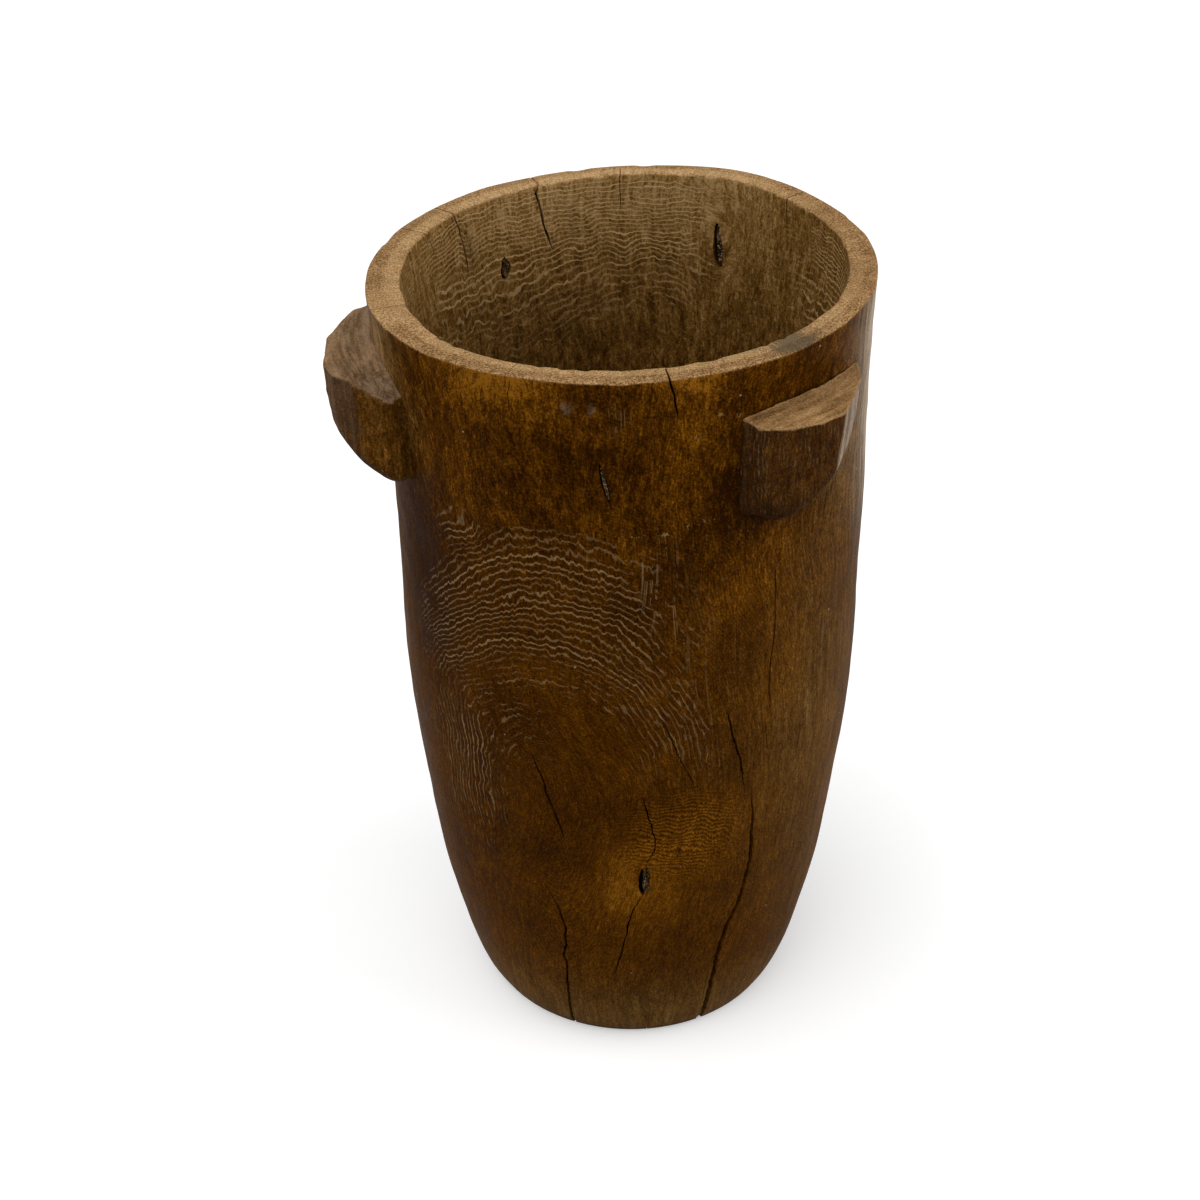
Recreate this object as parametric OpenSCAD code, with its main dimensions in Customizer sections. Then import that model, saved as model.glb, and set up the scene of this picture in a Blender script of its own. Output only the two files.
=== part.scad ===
// Milk pail carved from one log: a flared hollow wall on a solid foot, with two grip lugs
// below a slanted rim, and four dead knots that sit loose in the wood.
// Origin at the centre of the foot's underside, +Z up, front towards -Y. Millimetres.
// Angles round the pail start at the front and grow towards +X.

/* [Pail] */
// Height of the rim's centre above the ground
pail_h = 430; // [360:5:500]
// Radius of the flat underside
foot_r = 81; // [74:1:88]
// Largest radius of the rounded lower body
belly_r = 120; // [112:1:132]
// Height at which the lower body stops widening
belly_z = 229; // [190:1:270]
// Outer radius at the rim
rim_r = 124.5; // [121:0.5:140]
// How tightly the foot's edge is rounded, small is tight
foot_roundness = 0.58; // [0.45:0.01:0.8]
// How early the lower body fills out, large is early
belly_fullness = 1.47; // [1.2:0.01:2.2]
// How late the neck flares towards the rim, large is late
flare_power = 3.4; // [1.5:0.1:5]

/* [Hollow] */
// Thickness of the wall at the rim
wall_rim = 14; // [10:0.5:18]
// Thickness of the wall where it rises from the floor
wall_foot = 20; // [15:0.5:28]
// Height of the hollow's floor above the ground
floor_z = 46; // [30:1:70]
// Radius of the round corner between floor and wall
floor_cove = 36; // [15:1:48]

/* [Rim] */
// Slant of the rim, higher on the right
rim_tilt = 1.6; // [0:0.1:4]
// Worn bevel on both edges of the rim
rim_bevel = 2; // [0.5:0.5:4]

/* [Lugs] */
// Drop from the rim's centre to the lugs' top edges
lug_drop = 27; // [20:1:60]
// Share of the outer faces' height that is steep
lug_steep_share = 0.48; // [0.3:0.01:0.6]
// Lean of the outer faces in front of the crest, inwards as they go down
lug_front_lean = 1; // [0:0.5:4]
// Lean of the outer faces behind the crest
lug_back_lean = 5; // [2:0.5:10]
// Extra lean of the lower part of each face
lug_lower_lean = 4; // [2:0.5:10]
// Slope of the lugs' undersides, measured from the wall
lug_under = 45; // [35:1:60]
// Share of the outer faces' height at the crest that is lost at the back end
lug_back_rise = 0.45; // [0.2:0.05:0.6]
// How full the lugs' outline is in front of the crest, large is blunt
lug_front_fullness = 2.7; // [2:0.1:4]

/* [Right lug] */
// Angle from the front to the lug's front end
right_front = 25; // [15:1:35]
// Angle from the front end to the crest
right_crest_angle = 20; // [16:1:24]
// Stand-off of the crest from the wall
right_crest = 16.5; // [14:0.5:22]
// Angle that the whole lug takes up
right_span = 42; // [36:1:48]
// How full the outline is behind the crest, large is full
right_back_fullness = 0.85; // [0.8:0.05:1.6]
// Angle from the front end to where the end face meets the wall
right_end = 0; // [-2:0.5:2]
// Height of the outer face at the front end
right_front_h = 49; // [40:1:56]
// Height of the outer face at the crest
right_crest_h = 45; // [36:1:48]
// Slope of the top, which rises to the wall
right_top_slope = 13; // [8:1:18]

/* [Left lug] */
// Angle from the front to the lug's front end
left_front = 57; // [50:1:65]
// Angle from the front end to the crest
left_crest_angle = 14; // [11:1:18]
// Stand-off of the crest from the wall
left_crest = 29; // [24:0.5:32]
// Angle that the whole lug takes up
left_span = 49; // [44:1:56]
// How full the outline is behind the crest, large is full
left_back_fullness = 1.4; // [0.8:0.05:1.6]
// Angle from the front end to where the end face meets the wall
left_end = 2; // [0:0.5:5]
// Height of the outer face at the front end
left_front_h = 60; // [48:1:68]
// Height of the outer face at the crest
left_crest_h = 33; // [28:1:42]
// Slope of the top, which rises to the wall
left_top_slope = 3; // [1:1:8]
// Angle from the front end to the outer end of the bevel's ridge
left_ridge_angle = 6.5; // [4:0.5:8]
// Turn of the bevel from the front end towards the wall
left_bevel_turn = 40; // [10:1:50]
// Slope of the bevel on top of the front end
left_bevel = 32; // [20:1:38]

/* [Knots] */
// Gap round a dead knot in its seat
knot_gap = 0.4; // [0.2:0.1:0.8]
// Depth of the knots' seats below the surface
knot_depth = 8; // [5:0.5:9]
// Angle from the front to the front knot
front_knot_angle = 3.4; // [-10:0.2:10]
// Height of the front knot
front_knot_z = 136; // [110:1:180]
// Width of the front knot
front_knot_w = 8; // [5:0.5:12]
// Length of the front knot
front_knot_l = 18; // [10:0.5:24]
// Angle from the front to the upper knot
upper_knot_angle = -4.5; // [-15:0.5:5]
// Drop from the rim's centre to the upper knot
upper_knot_drop = 52; // [40:1:90]
// Width of the upper knot
upper_knot_w = 4; // [3:0.5:8]
// Length of the upper knot
upper_knot_l = 15; // [8:0.5:20]
// Angle from the front to the left inner knot
inner_left_angle = -144; // [-160:1:-130]
// Drop from the rim's centre to the left inner knot
inner_left_drop = 43; // [30:1:80]
// Width of the left inner knot
inner_left_w = 7; // [4:0.5:10]
// Length of the left inner knot
inner_left_l = 11; // [6:0.5:16]
// Angle from the front to the right inner knot
inner_right_angle = 152.5; // [140:0.5:165]
// Drop from the rim's centre to the right inner knot
inner_right_drop = 37; // [30:1:80]
// Width of the right inner knot
inner_right_w = 7; // [4:0.5:10]
// Length of the right inner knot
inner_right_l = 21; // [12:0.5:28]

/* [Hidden] */
$fn = 96;

body_brown = "#5a3a18";
lug_brown = "#4b3119";
knot_brown = "#2a1a0b";

lug_top_z = pail_h - lug_drop;
// Reach of cutting blocks past the pail, and the height of the uncut wall above the rim's centre
reach = 2 * (rim_r + left_crest);
headroom = rim_r * tan(rim_tilt) + rim_bevel;
foot_steps = 8;
wall_steps = 22;
cove_steps = 6;
knot_sides = 20;
// Corners of a lug's outline, as shares of the way to the crest and of the way on to the back end
lug_front_steps = [0, 0.13, 0.4, 0.7];
lug_back_steps = [0, 0.3, 0.65, 1];

// Outer radius: rounded foot and belly below belly_z, flaring neck above it
function swell(t) = pow(1 - pow(1 - t, belly_fullness), foot_roundness);
function flare(z) = pow((z - belly_z) / (pail_h - belly_z), flare_power);
function outer_r(z) = z < belly_z
    ? foot_r + (belly_r - foot_r) * swell(z / belly_z)
    : belly_r + (rim_r - belly_r) * flare(z);

// Inner radius: the wall thins from floor to rim, and a quarter circle rounds the floor's corner
function wall_t(z) = wall_rim + (wall_foot - wall_rim) * (pail_h - z) / (pail_h - floor_z);
function cove_t(z) = let (rise = floor_z + floor_cove - z)
    rise > 0 ? floor_cove - sqrt(floor_cove * floor_cove - rise * rise) : 0;
function inner_r(z) = outer_r(z) - wall_t(z) - cove_t(z);

// Heights of the profile's points: close together at the foot and in the cove, even above
function foot_heights() = [for (i = [0 : foot_steps]) floor_z * pow(i / foot_steps, 2)];
function wall_heights() = let (top = pail_h + headroom)
    [for (i = [0 : wall_steps]) floor_z + (top - floor_z) * i / wall_steps];
function cove_heights() = [for (i = [0 : cove_steps]) floor_z + floor_cove * (1 - cos(90 * i / cove_steps))];
function hollow_heights() = let (top = pail_h + headroom, start = floor_z + floor_cove)
    concat(cove_heights(), [for (i = [1 : wall_steps]) start + (top - start) * i / wall_steps]);
function reversed(list) = [for (i = [len(list) - 1 : -1 : 0]) list[i]];

// Place at an angle from the front and a distance from the pail's axis
function at(angle, r) = [r * sin(angle), -r * cos(angle)];

// Turns +X to face outwards at an angle from the front
module facing(angle) {
    rotate([0, 0, angle - 90]) children();
}

// The uncut wall ring, with its hollow and without its rim's slant
module wall_ring() {
    outside = [for (z = wall_heights()) [outer_r(z), z]];
    inside = [for (z = hollow_heights()) [inner_r(z), z]];
    rotate_extrude() polygon(concat(outside, reversed(inside)));
}

// The wall without its hollow, which the lugs are seated on
module wall_core() {
    outside = [for (z = wall_heights()) [outer_r(z), z]];
    top = pail_h + headroom;
    rotate_extrude() polygon(concat([[0, floor_z]], outside, [[0, top]]));
}

// Everything below the slanted rim plane, with the rim's two worn bevels
module rim_envelope() {
    rim_in = rim_r - wall_rim + rim_bevel;
    rim_out = rim_r - rim_bevel;
    translate([0, 0, pail_h])
        rotate([0, -rim_tilt, 0])
            rotate_extrude()
                polygon([[0, -reach * 2], [0, -rim_in], [rim_in, 0], [rim_out, 0],
                         [rim_out + reach, -reach], [rim_out + reach, -reach * 2]]);
}

// Block behind a plane through a point, whose outward normal dips below the level by lean
module behind_plane(point, yaw, lean) {
    translate(point)
        rotate([0, 0, yaw])
            rotate([0, lean, 0])
                translate([-2 * reach, -reach, -reach]) cube(2 * reach);
}

// Stand-off of a lug's outline from the wall, at an angle from the lug's front end
function stand_off(angle, crest_angle, crest, span, back_fullness) = angle < crest_angle
    ? crest * (1 - pow(1 - angle / crest_angle, lug_front_fullness))
    : crest * (1 - pow((angle - crest_angle) / (span - crest_angle), back_fullness));

// Block behind one side of a lug: the sloped top, a steep upper face, a leaning lower face and the underside
module lug_side(point, yaw, face_h, lean, top_slope) {
    inwards = [-cos(yaw), -sin(yaw)];
    lower_lean = lean + lug_lower_lean;
    steep_h = face_h * lug_steep_share;
    steep_in = steep_h * tan(lean);
    lower_in = steep_in + (face_h - steep_h) * tan(lower_lean);
    intersection() {
        behind_plane(concat(point, lug_top_z), yaw, top_slope - 90);
        behind_plane(concat(point, lug_top_z), yaw, lean);
        behind_plane(concat(point + steep_in * inwards, lug_top_z - steep_h), yaw, lower_lean);
        behind_plane(concat(point + lower_in * inwards, lug_top_z - face_h), yaw, lug_under);
    }
}

// A lug cut from a wedge of the log, with an upright front end and a side for each step of its outline.
// Its lower edge climbs from the front end to the crest, and on to the back end.
module lug_block(front, crest_angle, crest, span, back_fullness, end_angle, front_h, crest_h, top_slope) {
    wall_r = outer_r(lug_top_z);
    steps = concat(lug_front_steps, [1]);
    angles = concat([for (share = lug_front_steps) share * crest_angle],
                    [for (share = lug_back_steps) crest_angle + share * (span - crest_angle)]);
    points = [for (a = angles)
        at(front + a, wall_r + stand_off(a, crest_angle, crest, span, back_fullness))];
    last = len(points) - 1;
    crest_corner = len(lug_front_steps);
    end_step = points[1] - at(front + end_angle, wall_r);
    difference() {
        intersection() {
            translate([0, 0, floor_z])
                linear_extrude(pail_h - floor_z)
                    polygon([[0, 0], at(front, reach), at(front + span / 2, reach), at(front + span, reach)]);
            behind_plane(concat(points[1], lug_top_z), atan2(end_step[1], end_step[0]) - 90, 0);
            intersection_for(i = [1 : last - 1]) {
                step = points[i + 1] - points[i];
                back_share = max(0, i + 1 - crest_corner) / (last - crest_corner);
                front_share = back_share > 0 ? 1 : (steps[i] + steps[i + 1]) / 2;
                face_h = (front_h + (crest_h - front_h) * front_share) * (1 - lug_back_rise * back_share);
                lug_side(points[i], atan2(step[1], step[0]) - 90, face_h,
                         back_share > 0 ? lug_back_lean : lug_front_lean, top_slope);
            }
        }
        wall_core();
    }
}

// Oval column through the wall's outer or inner face, grown by a gap
module knot_column(w, l, gap, length) {
    rotate([0, 90, 0])
        linear_extrude(length)
            polygon([for (i = [0 : knot_sides - 1])
                let (a = 360 * i / knot_sides) [(l / 2 + gap) * cos(a), (w / 2 + gap) * sin(a)]]);
}

// Column that runs outwards from the floor of an outer knot's seat
module outer_knot_column(angle, z, w, l, gap) {
    facing(angle)
        translate([outer_r(z) - knot_depth, 0, z]) knot_column(w, l, gap, reach);
}

// Column that runs inwards from the floor of an inner knot's seat
module inner_knot_column(angle, z, w, l, gap) {
    length = inner_r(z);
    facing(angle)
        translate([inner_r(z) + knot_depth - length, 0, z]) knot_column(w, l, gap, length);
}

module front_knot_column(gap) {
    outer_knot_column(front_knot_angle, front_knot_z, front_knot_w, front_knot_l, gap);
}

module upper_knot_column(gap) {
    outer_knot_column(upper_knot_angle, pail_h - upper_knot_drop, upper_knot_w, upper_knot_l, gap);
}

module inner_left_column(gap) {
    inner_knot_column(inner_left_angle, pail_h - inner_left_drop, inner_left_w, inner_left_l, gap);
}

module inner_right_column(gap) {
    inner_knot_column(inner_right_angle, pail_h - inner_right_drop, inner_right_w, inner_right_l, gap);
}

module pail_wall() {
    color(body_brown)
        difference() {
            intersection() {
                wall_ring();
                rim_envelope();
            }
            front_knot_column(knot_gap);
            upper_knot_column(knot_gap);
            inner_left_column(knot_gap);
            inner_right_column(knot_gap);
        }
}

module pail_base() {
    outside = [for (z = foot_heights()) [outer_r(z), z]];
    color(body_brown)
        rotate_extrude() polygon(concat([[0, 0]], outside, [[0, floor_z]]));
}

module right_lug() {
    color(lug_brown)
        lug_block(right_front, right_crest_angle, right_crest, right_span, right_back_fullness,
                  right_end, right_front_h, right_crest_h, right_top_slope);
}

// The left lug is made on the right and mirrored, with a bevel that falls towards its front end
module left_lug() {
    ridge_angle = left_front + left_ridge_angle;
    ridge_off = stand_off(left_ridge_angle, left_crest_angle, left_crest, left_span, left_back_fullness);
    ridge = at(ridge_angle, outer_r(lug_top_z) + ridge_off);
    color(lug_brown)
        mirror([1, 0, 0])
            intersection() {
                lug_block(left_front, left_crest_angle, left_crest, left_span, left_back_fullness,
                          left_end, left_front_h, left_crest_h, left_top_slope);
                behind_plane(concat(ridge, lug_top_z), ridge_angle + 180 - left_bevel_turn, left_bevel - 90);
            }
}

module front_knot() {
    color(knot_brown)
        intersection() {
            front_knot_column(0);
            wall_ring();
        }
}

module upper_knot() {
    color(knot_brown)
        intersection() {
            upper_knot_column(0);
            wall_ring();
        }
}

module inner_left_knot() {
    color(knot_brown)
        intersection() {
            inner_left_column(0);
            wall_ring();
        }
}

module inner_right_knot() {
    color(knot_brown)
        intersection() {
            inner_right_column(0);
            wall_ring();
        }
}

pail_wall();
pail_base();
left_lug();
right_lug();
front_knot();
upper_knot();
inner_left_knot();
inner_right_knot();
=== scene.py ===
import math
from collections import namedtuple

import bpy
import bmesh
import numpy as np
from mathutils import Matrix, Vector


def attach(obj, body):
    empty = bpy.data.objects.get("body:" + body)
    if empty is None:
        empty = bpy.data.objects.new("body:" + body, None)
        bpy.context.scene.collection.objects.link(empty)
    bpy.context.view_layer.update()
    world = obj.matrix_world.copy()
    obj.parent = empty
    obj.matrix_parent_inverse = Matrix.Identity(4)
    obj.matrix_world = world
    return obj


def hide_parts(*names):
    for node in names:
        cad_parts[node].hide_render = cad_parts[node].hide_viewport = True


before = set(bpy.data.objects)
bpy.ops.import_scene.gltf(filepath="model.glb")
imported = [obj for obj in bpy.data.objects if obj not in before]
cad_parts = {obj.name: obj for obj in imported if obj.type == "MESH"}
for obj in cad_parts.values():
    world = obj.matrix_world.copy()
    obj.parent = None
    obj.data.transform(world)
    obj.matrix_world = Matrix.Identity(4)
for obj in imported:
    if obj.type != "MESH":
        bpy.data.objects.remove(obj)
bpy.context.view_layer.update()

# Lengths are in millimetres and angles in degrees; the points stored in a mesh are in metres.
# Angles round the pail start at the front (-Y) and grow towards +X.
MM = 0.001
SEED = 7

# The pail's profile, with the same driving sizes as the solids
PAIL_H = 430.0
FOOT_R = 81.0
BELLY_R = 120.0
BELLY_Z = 229.0
RIM_R = 124.5
FOOT_ROUNDNESS = 0.58
BELLY_FULLNESS = 1.47
FLARE_POWER = 3.4
WALL_RIM = 14.0
WALL_FOOT = 20.0
FLOOR_Z = 46.0
FLOOR_COVE = 36.0
RIM_TILT = 1.6

# How the carved pail departs from a turned one
LEAN_START = 0.7
TOP_LEAN_X = -3.2
TOP_LEAN_Y = 1.7
RIM_SHRINK = 0.6
FAR_WALL_THINNING = 2.5
NEAR_WALL_THINNING = 0.8
FOOT_EDGE = 2.5
RIM_ROUND = 1.8
RIM_SWAY = 0.7
ADZE_FACET_DEPTH = 0.55
ADZE_DENT_DEPTH = 0.16
GOUGE_MARK_DEPTH = 0.5
GOUGE_DENT_DEPTH = 0.2
# Soft swells of the rim and the wall: amount, angle of the middle, half angle
FAR_RIGHT_RISE = (2.2, 143.0, 22.0)
NEAR_RISE = (1.6, -5.0, 24.0)
LEFT_BULGE = (1.8, -72.0, 24.0)
LEFT_THICKENING = (1.8, -85.0, 30.0)

# Flat cut that runs in above the right lug
LUG_TOP_Z = 403.0
FLAT_ANGLE = 44.5
FLAT_HALF = 20.0
FLAT_SHARE = 0.6

# Mesh density
COLUMNS = 480
OUTER_ROWS = 190
RIM_ROWS = 12
INNER_ROWS = 110
UNDER_ROWS = 6
FOOT_ROWS = 26
LUG_VOXEL = 0.6
SHARP_ANGLE = 35.0
LUG_SHARP_ANGLE = 60.0
COLUMN_ANGLES = np.arange(COLUMNS) * 360.0 / COLUMNS - 180.0

rng = np.random.default_rng(SEED)


def smooth(low, high, value):
    """0 below low, 1 above high, and a smooth rise between them."""
    t = np.clip((value - low) / (high - low), 0.0, 1.0)
    return t * t * (3.0 - 2.0 * t)


def lattice(columns, rows):
    """Random values for ring_noise(): a table that wraps round the pail."""
    return rng.uniform(-1.0, 1.0, (columns, rows + 2))


def ring_noise(table, angle, z):
    """Smooth noise from -1 to 1 over the angle and the height, without a seam at the back."""
    columns, rows = table.shape
    u = (np.asarray(angle) / 360.0 % 1.0) * columns
    v = np.clip(np.asarray(z) / PAIL_H, 0.0, 1.05) / 1.05 * (rows - 1.001)
    iu = np.floor(u).astype(int)
    iv = np.floor(v).astype(int)
    fu = smooth(0, 1, u - iu)
    fv = smooth(0, 1, v - iv)
    here = iu % columns
    side = (iu + 1) % columns
    low = table[here, iv] * (1 - fu) + table[side, iv] * fu
    high = table[here, iv + 1] * (1 - fu) + table[side, iv + 1] * fu
    return low * (1 - fv) + high * fv


ADZE_FACETS = lattice(30, 9)
ADZE_DENTS = lattice(70, 40)
GOUGE_MARKS = lattice(52, 12)
GOUGE_DENTS = lattice(120, 50)
RIM_SWAYS = lattice(14, 2)
RIM_NICKS = lattice(130, 2)
RIM_CHIPS = lattice(64, 2)
FIGURE_SWAY = lattice(34, 20)
FIGURE_ZIGZAG = lattice(120, 70)
FIGURE_FADE = lattice(60, 45)
GRAIN_SWAY = lattice(22, 10)
PATINA_CLOUDS = lattice(26, 14)


def outer_r(z):
    """Outer radius of the pail at a height."""
    z = np.asarray(z, float)
    t = np.clip(1.0 - z / BELLY_Z, 0.0, 1.0)
    swelling = np.maximum(1.0 - t ** BELLY_FULLNESS, 0.0) ** FOOT_ROUNDNESS
    low = FOOT_R + (BELLY_R - FOOT_R) * swelling
    rise = np.maximum(z - BELLY_Z, 0.0) / (PAIL_H - BELLY_Z)
    return np.where(z < BELLY_Z, low, BELLY_R + (RIM_R - BELLY_R) * rise ** FLARE_POWER)


def inner_r(z):
    """Inner radius of the hollow at a height."""
    z = np.asarray(z, float)
    wall = WALL_RIM + (WALL_FOOT - WALL_RIM) * (PAIL_H - z) / (PAIL_H - FLOOR_Z)
    rise = np.clip(FLOOR_Z + FLOOR_COVE - z, 0.0, FLOOR_COVE)
    cove = FLOOR_COVE - np.sqrt(FLOOR_COVE ** 2 - rise ** 2)
    return outer_r(z) - wall - cove


def rim_z(angle):
    """Height of the slanted rim at an angle from the front."""
    return PAIL_H + RIM_R * np.sin(np.radians(angle)) * math.tan(math.radians(RIM_TILT))


def lean(z):
    """Sideways shift of the pail's axis at a height."""
    share = np.clip((np.asarray(z, float) / PAIL_H - LEAN_START) / (1.0 - LEAN_START), 0.0, 1.1)
    return TOP_LEAN_X * share, TOP_LEAN_Y * share


def turned(angle, start):
    """Angle from a start, between -180 and 180."""
    return (np.asarray(angle) - start + 180.0) % 360.0 - 180.0


def swell(angle, amount, middle, half_angle):
    """A soft rise that is highest at one angle round the pail."""
    return amount * np.exp(-(turned(angle, middle) / half_angle) ** 2)


def rim_top(angle):
    """Height of the worn rim, which sways a little about its slant."""
    sway = RIM_SWAY * (ring_noise(RIM_SWAYS, angle, 0) - 0.5)
    return rim_z(angle) + sway + swell(angle, *FAR_RIGHT_RISE) + swell(angle, *NEAR_RISE)


def chisel_flat(angle, z):
    """Depth of the flat cut above the right lug."""
    turn = np.clip(np.abs(turned(angle, FLAT_ANGLE)), 0.0, FLAT_HALF)
    chord = outer_r(z) * (1.0 - math.cos(math.radians(FLAT_HALF)) / np.cos(np.radians(turn)))
    rise = smooth(LUG_TOP_Z - 6, LUG_TOP_Z - 1, z) * smooth(LUG_TOP_Z + 22, LUG_TOP_Z + 4, z)
    return FLAT_SHARE * chord * rise


def carved_outer_r(angle, z):
    """Outer radius with the adze's long facets, the rim's shrinkage and the flat above the right lug."""
    top = smooth(0.75 * PAIL_H, PAIL_H, z)
    facets = ADZE_FACET_DEPTH * ring_noise(ADZE_FACETS, angle, z)
    facets = facets + ADZE_DENT_DEPTH * ring_noise(ADZE_DENTS, angle, z)
    left = swell(angle, *LEFT_BULGE) * smooth(0.84 * PAIL_H, 0.95 * PAIL_H, z)
    return outer_r(z) - RIM_SHRINK * top + left + facets * smooth(0, 30, z) - chisel_flat(angle, z)


def carved_inner_r(angle, z):
    """Inner radius with the gouge's upright marks and the wall's uneven thickness."""
    top = smooth(0.5 * PAIL_H, PAIL_H, z)
    far = 0.5 - 0.5 * np.cos(np.radians(angle))
    thinning = NEAR_WALL_THINNING * (1 - far) + FAR_WALL_THINNING * far
    sides = np.abs(np.sin(np.radians(angle)))
    marks = GOUGE_MARK_DEPTH * ring_noise(GOUGE_MARKS, angle, z)
    marks = marks + GOUGE_DENT_DEPTH * ring_noise(GOUGE_DENTS, angle, z)
    even = inner_r(z) + (thinning * (1 - sides) - RIM_SHRINK - swell(angle, *LEFT_THICKENING)) * top
    return even + marks * smooth(FLOOR_Z, FLOOR_Z + 40, z)


def on_pail(angle, r, z):
    """Point at an angle, a distance from the leaning axis, and a height."""
    a = np.radians(angle)
    shift_x, shift_y = lean(z)
    return np.stack([r * np.sin(a) + shift_x, -r * np.cos(a) + shift_y, z + 0.0 * a], -1)


def around(points):
    """Angle, distance from the leaning axis, and height of points."""
    z = points[:, 2]
    shift_x, shift_y = lean(z)
    x = points[:, 0] - shift_x
    y = points[:, 1] - shift_y
    return np.degrees(np.arctan2(x, -y)), np.hypot(x, y), z


# Meshes

def grid_faces(rows, columns, wrap_rows):
    """Quads of a grid that wraps in its columns, and in its rows too if asked."""
    last = rows if wrap_rows else rows - 1
    i, j = np.meshgrid(np.arange(last), np.arange(columns), indexing="ij")
    here = i * columns
    down = (i + 1) % rows * columns
    side = (j + 1) % columns
    return np.stack([here + j, here + side, down + side, down + j], -1).reshape(-1, 4).tolist()


def capped(rings, centres=None):
    """Points and faces of stacked rings, closed at both ends by a centre point."""
    if centres is None:
        centres = [rings[0].mean(0), rings[-1].mean(0)]
    sides = len(rings[0])
    points = np.concatenate(rings + [centres])
    faces = grid_faces(len(rings), sides, False)
    first = len(rings) * sides
    last = (len(rings) - 1) * sides
    for j in range(sides):
        side = (j + 1) % sides
        faces.append([first, side, j])
        faces.append([first + 1, last + j, last + side])
    return points, faces


def add_object(name, data):
    """A new object in the scene."""
    obj = bpy.data.objects.new(name, data)
    bpy.context.scene.collection.objects.link(obj)
    return obj


def make_object(name, points, faces):
    """A mesh object from points in millimetres."""
    mesh = bpy.data.meshes.new(name)
    mesh.from_pydata((np.asarray(points) * MM).tolist(), [], faces)
    mesh.update()
    return add_object(name, mesh)


def vertex_points(mesh):
    """A mesh's vertices, in millimetres."""
    co = np.empty(len(mesh.vertices) * 3)
    mesh.vertices.foreach_get("co", co)
    return co.reshape(-1, 3) / MM


def set_vertex_points(mesh, points):
    """Moves a mesh's vertices to points in millimetres."""
    mesh.vertices.foreach_set("co", (points * MM).ravel())
    mesh.update()


def vertex_normals(mesh):
    """A mesh's normals at its vertices."""
    normals = np.empty(len(mesh.vertices) * 3)
    mesh.vertex_normals.foreach_get("vector", normals)
    return normals.reshape(-1, 3)


def outward(obj):
    """Turns all faces of a closed mesh outwards."""
    bm = bmesh.new()
    bm.from_mesh(obj.data)
    bmesh.ops.recalc_face_normals(bm, faces=bm.faces)
    bm.to_mesh(obj.data)
    bm.free()


def wall_mesh():
    """The wall: outside up to the rim, over it, down the hollow, and a flat ring back under."""
    angle = COLUMN_ANGLES
    rim = rim_top(angle)
    rings = []
    for t in np.linspace(0.0, 1.0, OUTER_ROWS):
        z = FLOOR_Z + (rim - RIM_ROUND - FLOOR_Z) * t
        rings.append(on_pail(angle, carved_outer_r(angle, z), z))
    chip = np.clip(ring_noise(RIM_CHIPS, angle, 0) - 0.45, 0.0, 1.0) * 2.0
    nick = np.clip(ring_noise(RIM_NICKS, angle, 0) - 0.3, 0.0, 1.0) * 1.3
    r_out = carved_outer_r(angle, rim)
    r_in = carved_inner_r(angle, rim) + 0.5 * nick
    for t in np.linspace(0.0, 1.0, RIM_ROWS + 2)[1:-1]:
        across = 0.5 - 0.5 * np.cos(math.pi * t)
        edge_out = np.clip((r_out - r_in) * across / RIM_ROUND, 0.0, 1.0)
        edge_in = np.clip((r_out - r_in) * (1 - across) / RIM_ROUND, 0.0, 1.0)
        drop = RIM_ROUND * (2 - np.sqrt(1 - (1 - edge_out) ** 2) - np.sqrt(1 - (1 - edge_in) ** 2))
        worn = chip * (1 - across) ** 4 + nick * across ** 6
        rings.append(on_pail(angle, r_out + (r_in - r_out) * across, rim - 0.6 * drop - worn))
    for t in np.linspace(0.0, 1.0, INNER_ROWS) ** 1.35:
        z = rim - RIM_ROUND + (FLOOR_Z - rim + RIM_ROUND) * t
        fade = smooth(12, 0, rim - z)
        rings.append(on_pail(angle, carved_inner_r(angle, z) + 0.5 * nick * fade, z))
    floor = FLOOR_Z + 0.0 * angle
    floor_in = carved_inner_r(angle, floor)
    floor_out = carved_outer_r(angle, floor)
    for t in np.linspace(0.0, 1.0, UNDER_ROWS + 2)[1:-1]:
        rings.append(on_pail(angle, floor_in + (floor_out - floor_in) * t, floor))
    points = np.concatenate(rings)
    return make_object("pail_wall_carved", points, grid_faces(len(rings), COLUMNS, True))


def base_mesh():
    """The solid foot: the hollow's floor on top, the rounded side, and the flat underside."""
    angle = COLUMN_ANGLES
    level = 0.0 * angle
    rings = []
    seam_r = carved_outer_r(angle, FLOOR_Z + level)
    for t in np.linspace(0.08, 1.0, UNDER_ROWS * 2)[:-1]:
        rings.append(on_pail(angle, seam_r * t, FLOOR_Z + level))
    for t in np.linspace(1.0, 0.0, FOOT_ROWS) ** 1.5:
        z = FOOT_EDGE + (FLOOR_Z - FOOT_EDGE) * t + level
        rings.append(on_pail(angle, carved_outer_r(angle, z), z))
    edge_r = carved_outer_r(angle, FOOT_EDGE + level)
    for t in (30, 60, 90):
        turn = math.radians(t)
        z = FOOT_EDGE * (1 - math.sin(turn)) + level
        rings.append(on_pail(angle, edge_r - FOOT_EDGE * (1 - math.cos(turn)), z))
    for t in np.linspace(0.95, 0.08, UNDER_ROWS):
        rings.append(on_pail(angle, (edge_r - FOOT_EDGE) * t, level))
    points, faces = capped(rings, [[0.0, 0.0, FLOOR_Z], [0.0, 0.0, 0.0]])
    return make_object("pail_base_carved", points, faces)


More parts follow.
